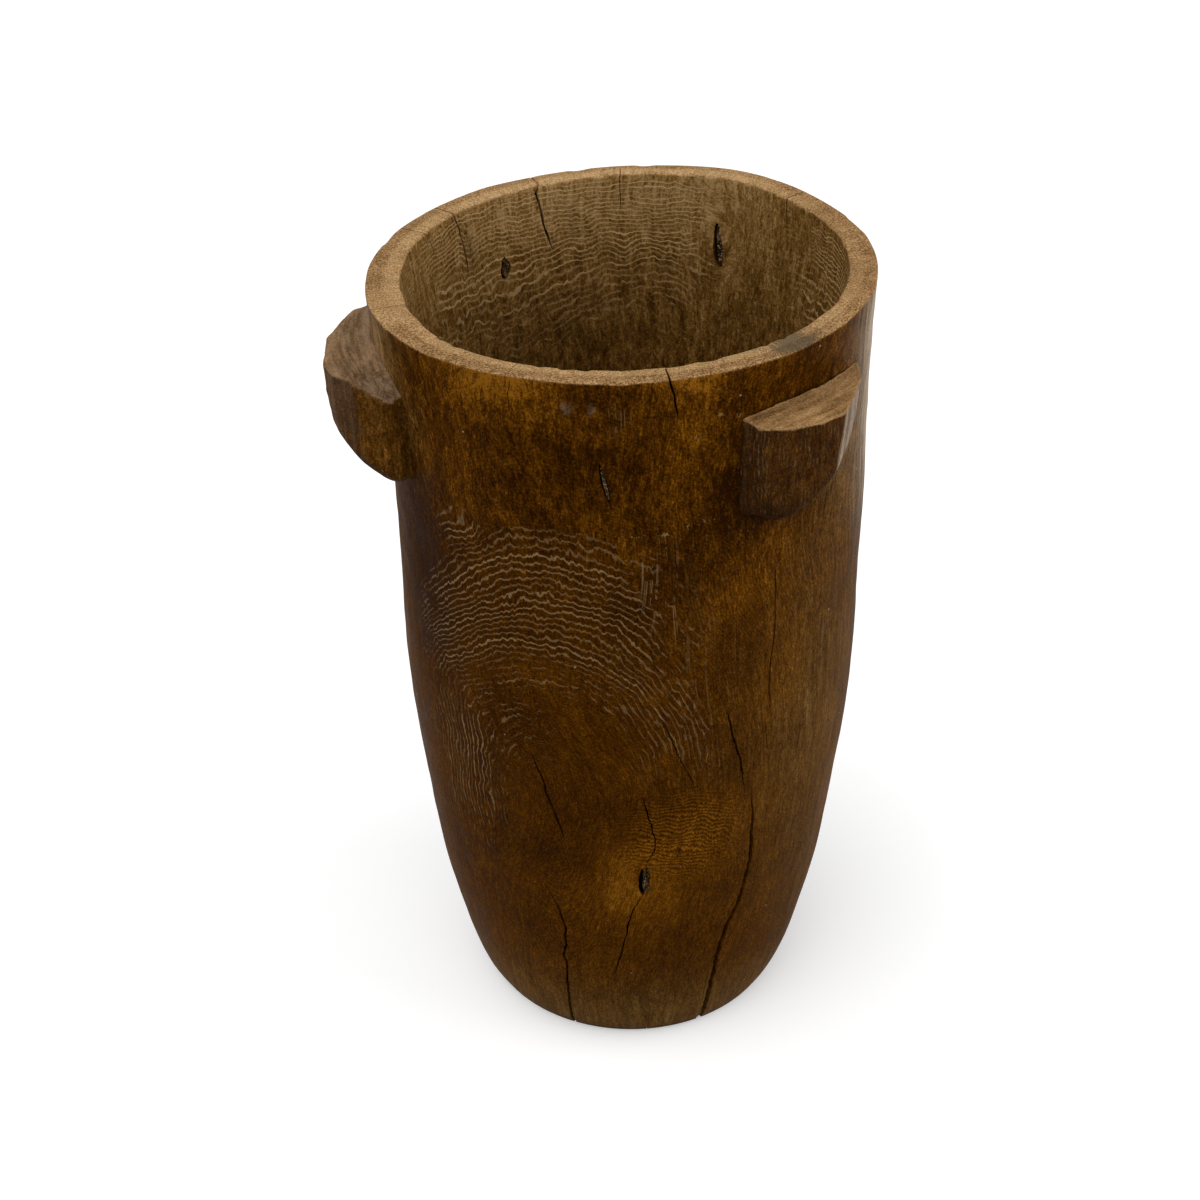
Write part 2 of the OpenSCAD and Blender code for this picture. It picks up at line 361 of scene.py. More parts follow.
# Cracks: half width, depth, and a route of angles and heights
OUTER_CRACKS = {
    "near_rim": (0.60, 11, [(9.6, 438), (10.3, 428), (11.0, 419), (11.6, 410)]),
    "near_rim_tail": (0.18, 4, [(11.8, 408), (12.3, 400), (12.5, 390)]),
    "near_dashes": (0.30, 5, [(-23.6, 428), (-24.6, 420), (-24.7, 412)]),
    "right_long": (0.48, 8, [(35.3, 327), (36.0, 300), (36.2, 285), (35.4, 268), (34.9, 249), (35.9, 227)]),
    "right_short": (0.35, 6, [(34.2, 229), (34.6, 220), (35.4, 209)]),
    "far_right": (0.35, 6, [(46.1, 219), (45.9, 206), (45.8, 193)]),
    "limb_right": (0.35, 6, [(69.4, 216), (69.8, 200), (70.0, 182)]),
    "middle_slant": (0.35, 6, [(7.2, 245), (9.3, 234), (11.3, 221), (15.2, 202), (15.9, 194)]),
    "left_slant": (0.75, 9, [(-24.6, 218), (-22.2, 203), (-20.5, 188), (-18.4, 175), (-17.0, 161)]),
    "left_foot": (0.75, 10, [
        (-23.9, 127), (-20.5, 110), (-19.0, 95), (-19.4, 79), (-20.6, 70),
        (-19.8, 66), (-20.8, 36), (-22.2, 9), (-22.6, -3),
    ]),
    "knot_up": (0.52, 8, [(2.6, 198), (4.2, 183), (6.0, 167), (6.1, 158), (4.4, 150), (3.0, 143)]),
    "knot_down": (0.52, 8, [(3.4, 127), (1.0, 116), (-0.6, 105), (-1.5, 93), (-2.7, 81), (-5.4, 58)]),
    "main_upper": (0.65, 9, [(23.2, 245), (25.1, 226), (27.7, 208), (29.2, 189)]),
    "main_lower": (1.30, 15, [
        (31.5, 188), (32.7, 169), (33.2, 150), (33.5, 134), (32.5, 118), (31.4, 103),
        (28.6, 88), (27.0, 66), (26.6, 43), (26.6, 20), (27.0, -3),
    ]),
    "left_hair": (0.25, 4, [(-54.3, 74), (-55.6, 60), (-56.8, 48)]),
    "left_hair_two": (0.22, 4, [(-40.6, 90), (-41.6, 72), (-42.5, 56)]),
    "foot_hair": (0.22, 4, [(6.1, 33), (6.0, 16), (5.9, -2)]),
}
INNER_CRACKS = {
    "far_rim": (0.70, 20, [(-157.6, 438), (-156.8, 428), (-156.0, 424), (-157.5, 405), (-159.6, 391)]),
    "left_rim": (0.50, 18, [(-128.6, 436), (-128.0, 427), (-129.3, 419), (-130.5, 407), (-131.3, 391)]),
    "side_rim": (0.32, 17, [(-115.3, 436), (-113.4, 430), (-116.0, 422), (-118.4, 409)]),
    "back_hair": (0.25, 6, [(-179.6, 436), (-179.4, 428), (-179.2, 410)]),
    "lug_rim_hair": (0.25, 20, [(-70.0, 436), (-70.4, 424), (-70.8, 416)]),
    "near_rim_hair": (0.25, 17, [(-25.2, 437), (-25.0, 426), (-25.4, 420)]),
    "right_rim_hair": (0.35, 20, [(130.3, 440), (130.2, 430), (129.8, 421)]),
    "side_rim_hair": (0.25, 20, [(93.6, 442), (93.8, 430), (94.0, 424)]),
}
CRACK_STEP = 1.6
CRACK_JITTER = 0.28
CRACK_TIP = 0.18
CRACK_WIDTH_RANGE = (0.75, 1.2)
CRACK_LEAST_DEPTH = 1.2
CUT_OUTSET = 2.0
# Width at the bottom of a crack as a share of its mouth
FLOOR_SHARE = 0.18
RIM_FLOOR_SHARE = 0.65


def crack_points(route):
    """A crack's route in short steps, with a little wander."""
    route = np.array(route, float)
    arc = np.radians(np.diff(route[:, 0])) * RIM_R
    run = np.concatenate([[0.0], np.cumsum(np.hypot(arc, np.diff(route[:, 1])))])
    steps = max(6, int(run[-1] / CRACK_STEP))
    at = np.linspace(0.0, run[-1], steps)
    angle = np.interp(at, run, route[:, 0])
    z = np.interp(at, run, route[:, 1])
    wander = rng.normal(0.0, CRACK_JITTER, steps)
    wander = np.convolve(wander, [0.25, 0.5, 0.25], "same")
    return angle + np.degrees(wander / RIM_R), z, at / run[-1]


def crack_cutter(side, half_width, depth, route):
    """Points and faces of a wedge that cuts one crack, wide open past the rim or the foot."""
    angle, z, t = crack_points(route)
    open_top = z[0] > PAIL_H
    head = np.clip(t / CRACK_TIP, 0.0, 1.0)
    tail = np.clip((1.0 - t) / CRACK_TIP, 0.0, 1.0)
    if open_top:
        head = np.ones_like(t)
    if z[-1] < 0.0:
        tail = 0.9 + 0.5 * t
    taper = np.clip(head * tail, 0.06, 1.4) ** 0.7
    width = half_width * taper * rng.uniform(*CRACK_WIDTH_RANGE, len(t))
    deep = np.maximum(depth * taper, CRACK_LEAST_DEPTH)
    if side == "outer":
        skin = carved_outer_r(angle, np.maximum(z, 1.0))
        near, far = skin + CUT_OUTSET, skin - deep
    else:
        skin = carved_inner_r(angle, np.minimum(z, PAIL_H + 6))
        near, far = skin - CUT_OUTSET, skin + deep
    rings = []
    far_share = RIM_FLOOR_SHARE if open_top else FLOOR_SHARE
    for r, w in ((near, width), (far, far_share * width)):
        turn = np.degrees(w / skin)
        rings.append(on_pail(angle - turn, r, z))
        rings.append(on_pail(angle + turn, r, z))
    points = np.stack([rings[k] for k in (0, 1, 3, 2)], 1).reshape(-1, 3)
    faces = grid_faces(len(t), 4, False)
    top = 4 * (len(t) - 1)
    faces.append([3, 2, 1, 0])
    faces.append([top, top + 1, top + 2, top + 3])
    return points, faces


# Knots: side of the wall, angle, height, half width, half length and slant of the long axis,
# then the plug's sideways shift, which leaves a dark slit beside it, and how deep its face is sunk
Knot = namedtuple("Knot", "side angle z half_w half_l slant shift sink")
KNOTS = {
    "front_knot": Knot("outer", 3.4, 135.5, 2.9, 9.6, 0.0, 1.2, 1.0),
    "upper_knot": Knot("outer", -4.5, 378.0, 1.25, 9.2, -10.0, 0.1, 0.6),
    "inner_left_knot": Knot("inner", -144.2, 387.5, 3.2, 5.6, 0.0, 0.9, 0.7),
    "inner_right_knot": Knot("inner", 152.5, 394.5, 2.7, 12.0, -4.0, 0.9, 0.3),
}
KNOT_DEPTH = 8.0
KNOT_RAGGED = 0.26
KNOT_BROKEN = 0.5
SEAT_GAP = 0.35
# Rings of a plug, from its buried end to its broken face: change of size and depth below the surface
PLUG_RINGS = ((0.0, KNOT_DEPTH), (0.0, 4.0), (-0.25, 2.2), (-0.8, 1.3), (-1.6, 1.6))
KNOT_SIDES = 36


def knot_outline(knot, grow, table):
    """A ragged oval round a knot, as sideways and upward offsets."""
    turn = np.arange(KNOT_SIDES) * 360.0 / KNOT_SIDES
    ragged = 1.0 + KNOT_RAGGED * ring_noise(table, turn, 0)
    u = (knot.half_w * ragged + grow) * np.sin(np.radians(turn))
    v = (knot.half_l * ragged + grow) * np.cos(np.radians(turn))
    u = u * (1.0 - 0.35 * (v / knot.half_l) ** 2)
    return u + v * math.tan(math.radians(knot.slant)), v


def knot_column(knot, outline, depths):
    """Rings of one outline at several depths below the surface, negative above it."""
    u, v = outline
    outer = knot.side == "outer"
    skin = carved_outer_r(knot.angle, knot.z) if outer else carved_inner_r(knot.angle, knot.z)
    outwards = 1.0 if outer else -1.0
    turn = knot.angle + outwards * np.degrees(u / skin)
    return [on_pail(turn, skin - outwards * np.asarray(depth) + 0.0 * u, knot.z + v) for depth in depths]


def join_shapes(name, shapes):
    """One mesh object from several closed shapes that don't touch."""
    points = []
    faces = []
    count = 0
    for shape_points, shape_faces in shapes:
        points.append(shape_points)
        faces += [[i + count for i in f] for f in shape_faces]
        count += len(shape_points)
    obj = make_object(name, np.concatenate(points), faces)
    outward(obj)
    return obj


def cut(obj, cutter):
    """Subtracts a cutter from a piece and keeps the result as plain mesh."""
    modifier = obj.modifiers.new("cut", "BOOLEAN")
    modifier.operation = "DIFFERENCE"
    modifier.solver = "MANIFOLD"
    modifier.object = cutter
    apply_modifiers(obj)


def apply_modifiers(obj):
    """Replaces a piece's mesh by its evaluated one."""
    graph = bpy.context.evaluated_depsgraph_get()
    mesh = bpy.data.meshes.new_from_object(obj.evaluated_get(graph))
    old = obj.data
    obj.modifiers.clear()
    obj.data = mesh
    mesh.name = obj.name
    bpy.data.meshes.remove(old)


KNOT_RAGS = {name: lattice(11, 2) for name in KNOTS}


def cut_cracks_and_seats(wall, base):
    """Opens the cracks and the knots' seats in the wall and the foot."""
    cracks = [crack_cutter("outer", *crack) for crack in OUTER_CRACKS.values()]
    cracks += [crack_cutter("inner", *crack) for crack in INNER_CRACKS.values()]
    seats = []
    for name, knot in KNOTS.items():
        outline = knot_outline(knot, SEAT_GAP, KNOT_RAGS[name])
        seats.append(capped(knot_column(knot, outline, (-3.0, 0.0, KNOT_DEPTH * 0.6, KNOT_DEPTH))))
    for shapes, pieces in ((cracks, (wall, base)), (seats, (wall,))):
        cutter = join_shapes("cutter", shapes)
        for piece in pieces:
            cut(piece, cutter)
        bpy.data.objects.remove(cutter)


def knot_plug(name):
    """A dead knot sunk in its seat: a ragged plug with a broken face."""
    knot = KNOTS[name]
    rings = []
    for shrink, depth in PLUG_RINGS:
        grow = -0.1 - 0.6 * knot.shift + shrink * min(1.0, knot.half_w / 3.0)
        u, v = knot_outline(knot, grow, KNOT_RAGS[name])
        broken = KNOT_BROKEN * rng.uniform(-1.0, 1.0, KNOT_SIDES)
        if depth < KNOT_DEPTH:
            depth = (depth + broken) * knot.sink
        rings += knot_column(knot, (u + knot.shift, v), [depth])
    obj = make_object(name + "_plug", *capped(rings))
    outward(obj)
    return obj


# Lugs

LUG_SINK = 5.0
LUG_BULGE_DEPTH = 3.5
LUG_FACET_DEPTH = 0.3
LUG_DENT_DEPTH = 0.14
LUG_COVE_WIDTH = 4.5
# Each lug's cove above its top, swell of its face, fuller part of its face (angle, height, half angle,
# half height), then amounts of pale lines, bare wood on top, bare wood on edges, and painted sheen
Lug = namedtuple("Lug", "cove swell bulge lines bare worn haze")
LUGS = {
    "left_lug": Lug(2.0, 1.8, (-72, 357, 14, 14), 0.10, 0.36, 0.18, 0.22),
    "right_lug": Lug(1.0, 0.5, (46, 360, 9, 13), 0.27, 0.66, 0.55, 0.04),
}
# Leaner part of the right lug: angle, height, half angle, half height
RIGHT_TRIM = (57, 398, 6, 16)
RIGHT_TRIM_DEPTH = 1.8
LUG_DENTS = lattice(90, 60)
LUG_FACETS = lattice(36, 26)


def relaxed(mesh, points, weight, rounds):
    """Points drawn towards the mean of their neighbours, by one weight or a column of them."""
    count = len(points)
    edges = np.empty(len(mesh.edges) * 2, np.int32)
    mesh.edges.foreach_get("vertices", edges)
    a, b = edges.reshape(-1, 2).T
    neighbours = np.bincount(a, minlength=count) + np.bincount(b, minlength=count)
    for _ in range(rounds):
        sums = [np.bincount(a, points[b, k], count) + np.bincount(b, points[a, k], count) for k in range(3)]
        mean = np.stack(sums, 1) / neighbours[:, None]
        points = points + weight * (mean - points)
    return points


def lug_blank(node):
    """A lug's solid as an even mesh, with its back sunk into the wall."""
    obj = add_object(node + "_carved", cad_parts[node].data.copy())
    obj.data.materials.clear()
    bm = bmesh.new()
    bm.from_mesh(obj.data)
    bmesh.ops.remove_doubles(bm, verts=bm.verts, dist=0.02 * MM)
    for v in bm.verts:
        r = math.hypot(v.co.x, v.co.y) / MM
        if r - float(outer_r(v.co.z / MM)) < 0.6:
            v.co.x *= (r - LUG_SINK) / r
            v.co.y *= (r - LUG_SINK) / r
    bm.to_mesh(obj.data)
    bm.free()
    remesh = obj.modifiers.new("remesh", "REMESH")
    remesh.mode = "VOXEL"
    remesh.voxel_size = LUG_VOXEL * MM
    apply_modifiers(obj)
    return obj


def lug_mesh(node):
    """A lug with worn edges, chisel marks, and a small cove where its top meets the wall."""
    lug = LUGS[node]
    obj = lug_blank(node)
    mesh = obj.data
    points = vertex_points(mesh)
    points = relaxed(mesh, points, 0.5, 7)
    below_top = smooth(12, 20, LUG_TOP_Z - points[:, 2])
    points = relaxed(mesh, points, 0.5 * below_top[:, None], 50)
    set_vertex_points(mesh, points)
    normals = vertex_normals(mesh)
    angle, r, z = around(points)
    marks = LUG_FACET_DEPTH * ring_noise(LUG_FACETS, angle * 2.5, z * 2.2 % PAIL_H)
    marks = marks + LUG_DENT_DEPTH * ring_noise(LUG_DENTS, angle * 2.5, z * 2.2 % PAIL_H)
    stand_off = np.maximum(r - carved_outer_r(angle, z), 0.0)
    side = smooth(0.8, 0.3, normals[:, 2])
    marks = marks + lug.swell * smooth(3, 12, stand_off) * side
    marks = marks + LUG_BULGE_DEPTH * hill(angle, z, *lug.bulge) * smooth(1, 6, stand_off) * side
    points = points + normals * marks[:, None]
    if node == "right_lug":
        trim = RIGHT_TRIM_DEPTH * hill(angle, z, *RIGHT_TRIM) * smooth(1, 8, stand_off)
        points[:, 0] -= trim * np.sin(np.radians(angle))
        points[:, 1] += trim * np.cos(np.radians(angle))
    level = smooth(0.5, 0.9, normals[:, 2])
    points[:, 2] += lug.cove * np.exp(-(stand_off / LUG_COVE_WIDTH) ** 2) * level
    set_vertex_points(mesh, points)
    return obj


def edge_wear(mesh, points, normals):
    """Height of each point above its softened surroundings, which is largest on sharp edges."""
    soft = relaxed(mesh, points, 0.5, 22)
    return np.sum((points - soft) * normals, 1)


# Painted fields, worked out at every vertex

ARCH_ANGLE = -20.0
ARCH_Z = 190.0
BOW_FALL_LEFT = 0.050
BOW_FALL_TOP = 0.012
BOW_FALL_RIGHT = 0.027
ARCH_WIDTH = 0.75
ARCH_TAIL = 0.4
ARCH_SPACING = 3.8
ARCH_WIDE_FROM = 138.0
INSIDE_SPACING = 2.25
RIPPLE_SPACING = 2.7
LUG_SPACING = 2.1
RINGS_PER_LINE = 2.6
# Places and patches, each as angle, height, half angle, half height and, in some tables, amount
BOW_LOOPS = (-40, 338, 7, 12)
CROSS_RIPPLES = (13, 166, 15, 30)
SLANTED_GRAIN = (-8, 205, 34, 70)
BY_LEFT_LUG = (-69, 400, 10, 34)
# Painted shadow beside the left rim crack
INNER_CRACK_SHADOW = (-132.8, 404, 1.4, 10)

# Stretches of the figure beside its main bows
FIGURE_PATCHES = [
    (-45, 200, 14, 62, 0.66), (-28, 230, 10, 26, 0.40), (13, 302, 12, 36, 0.30), (-42, 336, 9, 16, 0.8),
]

# Patches of patina, orange where the amount is above 0 and dark below it; the dark ones beside and under the
# right lug and down the left side are painted shade
PATCHES = [
    (-24, 427, 7, 11, 1.7), (14, 430, 8, 10, 1.8), (-34, 420, 6, 10, 0.9), (14, 404, 4, 9, 0.8),
    (9, 369, 6, 13, 0.65), (-6, 354, 5, 9, 0.9), (3, 341, 7, 6, 0.6), (37, 330, 6, 20, 0.5),
    (25, 311, 8, 14, 0.6), (18, 160, 16, 30, 0.55), (-4, 142, 6, 34, 0.55), (22, 386, 3, 7, 0.7),
    (0, 392, 45, 45, 0.22), (-40, 430, 8, 8, 0.5), (2, 432, 8, 5, 0.6), (3, 122, 10, 34, 0.75),
    (38, 270, 9, 50, 0.35), (-149, 391, 3, 6, 1.0), (150, 413, 4, 8, 0.8), (-10, 385, 18, 22, -0.35),
    (13, 375, 9, 30, -0.3), (23.4, 384, 4.2, 27, -1.1), (30, 350, 13, 9, -0.7), (-60, 295, 15, 65, -1.1),
    (84, 285, 14, 45, -0.6), (5, 312, 10, 30, -0.35), (-14, 350, 10, 8, -0.3), (-30, 385, 8, 20, -0.3),
    (-25, 150, 6, 9, -0.4), (-40, 300, 14, 40, -0.2), (-28, 237, 10, 20, -0.25),
]
# Pale scuffs
SCUFFS = [
    (2, 349.6, 3.5, 1.3), (8.2, 350.6, 3, 1.7), (13.8, 353.5, 3, 1.6), (17.5, 355.5, 2.5, 1.4),
    (24, 348.6, 2.5, 2), (21, 409, 2.2, 2), (25.5, 407.5, 1.2, 2), (16, 399.6, 2, 1.5),
    (-166.8, 412, 4.2, 5.5), (-165.6, 402, 2.6, 7),
]
# Grey dabs
DABS = [(-11.7, 416.4, 1.9, 3.0), (-6.5, 416.5, 1.1, 2.6)]
# Dashed upright scratches
SCRATCHES = [
    (2.6, 331, 2, 12, 0.8), (6.5, 340, 3.5, 11, 0.8), (9.6, 312, 1.8, 30, 0.8), (5, 318, 2, 16, 0.8),
    (-24.3, 424, 0.9, 7, 1.0), (-1, 413, 2.5, 8, 0.6), (-50, 175, 10, 60, 0.25), (18, 265, 11, 45, 0.25),
    (50, 250, 14, 80, 0.35),
]
# Dry, faded stretches of the outside; on the right side they are also painted light, paler where the side
# light falls
FADED_AND_LIT = [
    (55, 210, 22, 110, 0.5), (75, 120, 30, 90, 0.4), (-80, 200, 22, 160, 0.1), (0, 15, 90, 30, 0.75),
    (62, 345, 14, 45, 0.5), (108, 375, 32, 100, 0.85), (-56, 380, 6, 22, 0.35), (*BY_LEFT_LUG, 0.9),
]
# Dark stain on the rim: amount, angle of its middle, half angle
RIM_STAIN = (1.0, 42.0, 8.0)
# Painted sheen: pale light glancing off the outermost sides
PAINTED_SHEEN = [(88, 400, 15, 74, 1.7), (79, 416, 11, 36, 1.1), (-86, 421, 14, 14, 0.5)]


def hill(angle, z, at_angle, at_z, half_angle, half_z):
    """A soft round patch, 1 at its middle."""
    return np.exp(-(turned(angle, at_angle) / half_angle) ** 2 - ((z - at_z) / half_z) ** 2)


def hills(angle, z, patches):
    """The highest of several soft patches, each by its amount if it has one."""
    total = np.zeros_like(z)
    for patch in patches:
        amount = patch[4] if len(patch) > 4 else 1.0
        total = np.maximum(total, amount * hill(angle, z, *patch[:4]))
    return total


def arch_radius(angle, z):
    """Size of the arch that a place on the front lies on: flat bows high up, ovals with tails below."""
    turn = turned(angle, ARCH_ANGLE)
    across = np.radians(turn) * RIM_R / ARCH_WIDTH
    up = z - ARCH_Z
    up = np.where(up > 0.0, up, ARCH_TAIL * up)
    oval = np.hypot(across, up)
    fall_left = BOW_FALL_LEFT + BOW_FALL_TOP * smooth(240, 320, z)
    fall = np.where(turn < 0.0, fall_left, BOW_FALL_RIGHT) * turn ** 2 / (1.0 + np.abs(turn) / 90.0)
    low = np.where(turn < 0.0, 205.0, 250.0 + 1.2 * np.maximum(turn, 0.0))
    share = smooth(low, low + 45.0, z)
    loops = 12.0 * hill(angle, z, *BOW_LOOPS)
    sway = 2.4 * ring_noise(FIGURE_SWAY, angle, z)
    zigzag = 1.2 * ring_noise(FIGURE_ZIGZAG, angle, z)
    return oval + (up + fall - oval) * share + loops + sway + zigzag


def outer_figure(angle, z):
    """Phase and strength of the pale lines on the outside."""
    radius = arch_radius(angle, z)
    ragged = ring_noise(FIGURE_FADE, angle, z)
    left = smooth(-84, -52, angle + 8.0 * ragged) * (0.20 + 0.80 * smooth(-66, -38, angle))
    dense = left * smooth(22, -14, angle + 15.0 * ragged) * smooth(ARCH_Z + 20, ARCH_Z + 60, z)
    dense = dense * smooth(84, 92, radius) * smooth(164, 158, radius)
    legs = 0.42 * left * smooth(40, 14, angle) * smooth(ARCH_Z - 40, ARCH_Z + 50, z)
    legs = legs * smooth(58, 74, radius) * smooth(150, 110, radius)
    amount = np.maximum(np.maximum(dense, legs), hills(angle, z, FIGURE_PATCHES)) * (1.0 + 0.35 * ragged)
    ripple = ripples(angle, z)
    bend = 2.2 * ring_noise(FIGURE_ZIGZAG, angle, z) + 3.0 * ring_noise(FIGURE_SWAY, angle, z)
    bend = bend + 0.025 * turned(angle, 3.4) ** 2
    wide = radius - ARCH_WIDE_FROM
    spread = 0.16 * (wide + np.hypot(wide, 8.0))
    arches = (radius - spread) / ARCH_SPACING
    phase = np.where(ripple > 0.0, (z + bend) / RIPPLE_SPACING / RINGS_PER_LINE, arches)
    return phase, np.clip(np.where(ripple > 0.0, 0.0, amount), 0.0, 1.0)


def ripples(angle, z):
    """Strength of the fine cross ripples right of the front knot."""
    return smooth(0.25, 0.7, hill(angle, z, *CROSS_RIPPLES))


def inner_figure(angle, z):
    """Phase and strength of the pale lines in the hollow: level rows near the rim, arches below them."""
    depth = rim_z(angle) - z
    turn = np.abs(turned(angle, 176.0))
    arch = 7.0 * smooth(16, 70, depth) * (np.minimum(turn, 34.0) / 24.0) ** 1.3
    spread = 0.25 * (depth - 45.0 + np.hypot(depth - 45.0, 16.0))
    sway = 1.7 * ring_noise(FIGURE_SWAY, angle * 2.0, z)
    zigzag = 0.9 * ring_noise(FIGURE_ZIGZAG, angle, z)
    fade = 0.9 + 0.4 * ring_noise(FIGURE_FADE, angle, z)
    right = 1.0 - 0.7 * smooth(166, 150, angle) * smooth(108, 126, angle)
    left = 1.0 - 0.4 * smooth(-130, -105, angle) * smooth(-40, -60, angle)
    amount = 0.8 * smooth(125, 30, depth) * smooth(1, 5, depth) * fade * right * left
    return (depth - spread - arch + sway + zigzag) / INSIDE_SPACING, np.clip(amount, 0.0, 1.0)


def grain_points(angle, z, inside):
    """Places in the log that the fibres are drawn from: they slant on the front and part round the knots."""
    slant = 0.36 * hill(angle, z, *SLANTED_GRAIN) * (z - 260.0)
    sway = 5.0 * ring_noise(GRAIN_SWAY, angle, z)
    part = 0.0
    for knot in KNOTS.values():
        offset = np.radians(turned(angle, knot.angle)) * RIM_R
        near = np.exp(-(offset / (5 * knot.half_w)) ** 2 - ((z - knot.z) / (2.6 * knot.half_l)) ** 2)
        part = part - 0.7 * offset * near
    turn = np.radians(angle) + (slant + sway + part) / RIM_R
    r = np.where(inside > 0.5, 95.0, 120.0)
    return np.stack([r * np.sin(turn), -r * np.cos(turn), z], -1) * MM


def wall_lift(angle, z, inside, rim, below_rim, depth):
    """How much paler the bare and dried wood is: high in the hollow, on the rim, and by the left lug, less
    so where painted shade keeps the right side of the hollow darker.
    """
    # Painted shade: the right side of the hollow, away from the side light, stays darker
    shade_side = 0.7 * smooth(152, 125, angle) * smooth(50, 80, angle)
    hollow = 0.23 * smooth(75, 10, below_rim) * (1 - shade_side) * inside
    near = smooth(80, 50, np.abs(angle))
    near_rim = (0.06 * smooth(4.5, 1.0, depth) - 0.025) * rim * near
    by_lug = 0.40 * hill(angle, z, *BY_LEFT_LUG) * (1 - inside)
    far = smooth(115, 155, np.abs(angle))
    far_rim = (0.10 * rim + 0.15 * smooth(40, 8, below_rim) * inside * (1 - rim)) * far
    return hollow + near_rim + by_lug + far_rim


def wall_fields(obj):
    """What the wood's shader needs on the wall or the foot."""
    points = vertex_points(obj.data)
    normals = vertex_normals(obj.data)
    angle, r, z = around(points)
    skin_out = carved_outer_r(angle, np.maximum(z, 0.1))
    skin_in = carved_inner_r(angle, np.maximum(z, FLOOR_Z))
    inside = ((r < 0.5 * (skin_out + skin_in)) & (z > FLOOR_Z - 0.5)).astype(float)
    below_rim = rim_top(angle) - z
    rim = smooth(0.25, 0.7, normals[:, 2]) * smooth(7, 4, below_rim)
    buried = np.where(z < FLOOR_Z, skin_out - r, np.minimum(skin_out - r, r - skin_in))
    # Painted shade deep in the cracks and the knots' seats
    painted_shade = smooth(0.5, 2.0, buried) * smooth(3, 5, below_rim) * (z > 0.2)
    phase_out, amount_out = outer_figure(angle, z)
    phase_in, amount_in = inner_figure(angle, z)
    patina_light_and_shade = 0.3 * ring_noise(PATINA_CLOUDS, angle, z)
    for patch in PATCHES:
        patina_light_and_shade = patina_light_and_shade + patch[4] * hill(angle, z, *patch[:4])
    dry_inside = smooth(190, 35, below_rim) * 0.85 + 0.1
    lively_inside = 0.14 + 0.16 * smooth(40, 120, below_rim)
    band = smooth(330, 362, z) * smooth(75, 50, np.abs(angle))
    dabs = 0.13 * smooth(0.44, 0.50, hills(angle, z, DABS))
    # Painted shadow in a streak down the left rim crack
    crack_shadow_streak = 0.5 * hill(angle, z, *INNER_CRACK_SHADOW) * inside
    return {
        "grain": grain_points(angle, z, inside),
        "figure": np.where(inside > 0.5, phase_in, phase_out),
        "figure_amount": np.where(inside > 0.5, amount_in, amount_out) * (1 - rim),
        "patina_light_and_shade": patina_light_and_shade,
        "bare": rim,
        # Dry wood, and painted light as well on the right side of the outside
        "dry_and_lit": np.where(inside > 0.5, dry_inside, hills(angle, z, FADED_AND_LIT)),
        "lively": np.where(inside > 0.5, lively_inside, 0.10 + 0.20 * band),
        "fleck": np.where(inside > 0.5, 1.2, 0.40 + 0.80 * smooth(280, 350, z)),
        "lift": wall_lift(angle, z, inside, rim, below_rim, skin_out - r),
        "fine": (0.07 + 0.14 * ripples(angle, z) - 0.03 * band) * (1 - inside),
        # Grey dabs of stain, and painted sheen glancing off the outermost sides
        "haze": np.maximum(dabs, hills(angle, z, PAINTED_SHEEN) * (1 - inside)),
        "painted_shade": np.maximum(painted_shade, crack_shadow_streak),
        "scuff": np.maximum(hills(angle, z, SCUFFS), 0.32 * inside + 0.42 * rim),
        "scratch": hills(angle, z, SCRATCHES) * (1 - inside),
        "stain": rim * swell(angle, *RIM_STAIN),
    }


